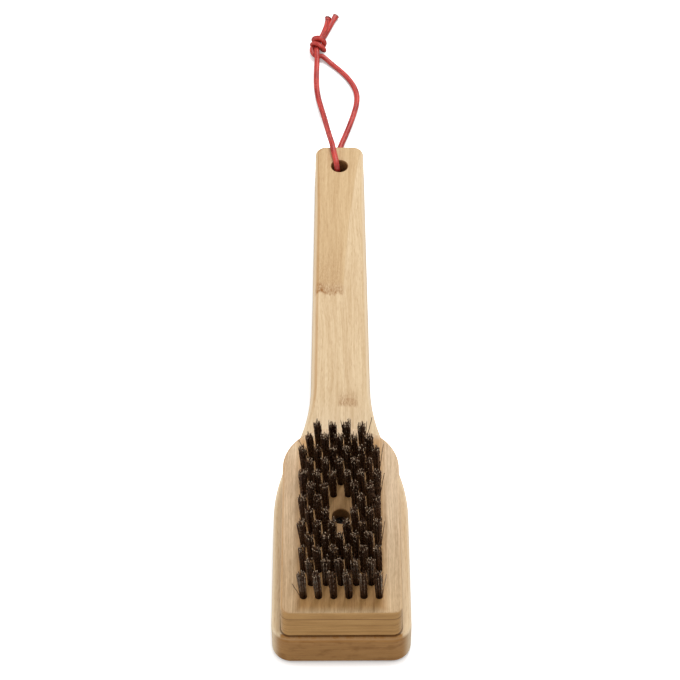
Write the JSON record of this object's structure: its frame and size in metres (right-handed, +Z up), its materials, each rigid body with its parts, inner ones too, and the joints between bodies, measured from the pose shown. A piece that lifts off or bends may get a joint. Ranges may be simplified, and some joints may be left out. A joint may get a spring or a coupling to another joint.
{
  "type": "grill brush",
  "caption": "Long-handled wooden grill brush with a block of dark steel wire tufts and a knotted hanging cord.",
  "frame": {"origin": "on the resting surface, under the middle of the wood's length and width", "axes": "+Y runs from the bristle head to the handle's end, +X to the right seen from the head, +Z up out of the bristles. The brush lies on its back, and its wood leans back half a degree on the cord that passes under the handle's end."},
  "size_m": [0.061, 0.4333, 0.0543],
  "materials": {
    "bamboo": "sanded, lightly oiled",
    "bristle_wire": "dark tempered wire, cut bright at the tips",
    "anchor_wire": "plain",
    "screw_steel": "blackened",
    "cord": "dyed red, satin"
  },
  "bodies": {
    "root": {"handle_board": "bamboo", "head_block": "bamboo", "head_screw": "screw_steel", "tuft_row_01": "bristle_wire", "tuft_row_02": "bristle_wire", "tuft_row_03": "bristle_wire", "tuft_row_04": "bristle_wire", "tuft_row_05": "bristle_wire", "tuft_row_06": "bristle_wire", "tuft_row_07": "bristle_wire", "tuft_row_08": "bristle_wire", "tuft_row_09": "bristle_wire", "tuft_row_10": "bristle_wire", "tuft_row_11": "bristle_wire", "tuft_row_12": "bristle_wire", "tuft_row_13": "bristle_wire", "anchor_row_01": "anchor_wire", "anchor_row_02": "anchor_wire", "anchor_row_03": "anchor_wire", "anchor_row_04": "anchor_wire", "anchor_row_05": "anchor_wire", "anchor_row_06": "anchor_wire", "anchor_row_07": "anchor_wire", "anchor_row_08": "anchor_wire", "anchor_row_09": "anchor_wire", "anchor_row_10": "anchor_wire", "anchor_row_11": "anchor_wire", "anchor_row_12": "anchor_wire", "anchor_row_13": "anchor_wire", "hang_cord": "cord", "cord_knot": "cord", "cord_tail_left": "cord", "cord_tail_right": "cord"}
  },
  "joints": []
}
